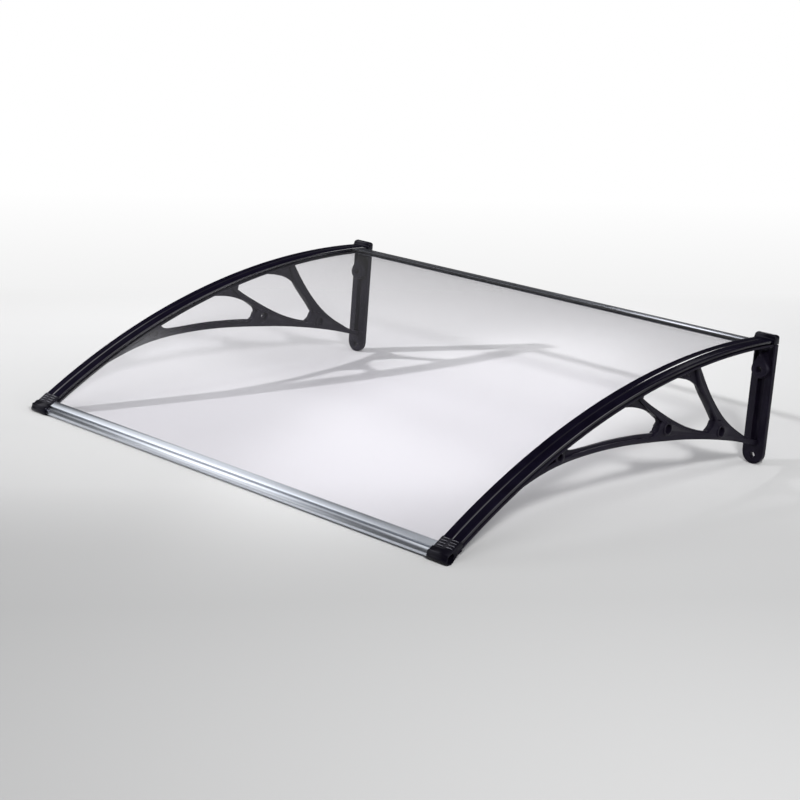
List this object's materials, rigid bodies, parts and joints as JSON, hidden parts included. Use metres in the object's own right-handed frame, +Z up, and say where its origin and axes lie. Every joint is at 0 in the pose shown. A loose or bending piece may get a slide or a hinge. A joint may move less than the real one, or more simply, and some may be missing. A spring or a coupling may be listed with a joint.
{
  "type": "door canopy",
  "caption": "Clear curved door canopy: a transparent sheet held between arched black wall brackets, with aluminium bars along its front and rear edges.",
  "frame": {"origin": "middle of the bounding box in X and Y, at the lowest point of the front caps", "axes": "+Z up with the wall plates upright, +Y toward the wall behind the plates, X along the width"},
  "size_m": [1.0494, 0.8134, 0.2732],
  "materials": {
    "black_moulding": "satin",
    "black_cover": "satin",
    "black_cap": "satin",
    "clear_sheet": "gloss",
    "brushed_aluminium": "satin",
    "seal_rubber": "matte",
    "screw_zinc": "satin"
  },
  "bodies": {
    "root": {"bracket_left": "black_moulding", "cover_strip_left": "black_cover", "front_cap_left": "black_cap", "rear_cap_left": "black_cap", "strip_screw_left_1": "screw_zinc", "strip_screw_left_2": "screw_zinc", "strip_screw_left_3": "screw_zinc", "rear_screw_left_1": "screw_zinc", "rear_screw_left_2": "screw_zinc", "front_screw_left": "screw_zinc", "bracket_right": "black_moulding", "cover_strip_right": "black_cover", "front_cap_right": "black_cap", "rear_cap_right": "black_cap", "strip_screw_right_1": "screw_zinc", "strip_screw_right_2": "screw_zinc", "strip_screw_right_3": "screw_zinc", "rear_screw_right_1": "screw_zinc", "rear_screw_right_2": "screw_zinc", "front_screw_right": "screw_zinc", "canopy_sheet": "clear_sheet", "front_rail": "brushed_aluminium", "rear_rail": "brushed_aluminium", "rear_seal": "seal_rubber"}
  },
  "joints": []
}
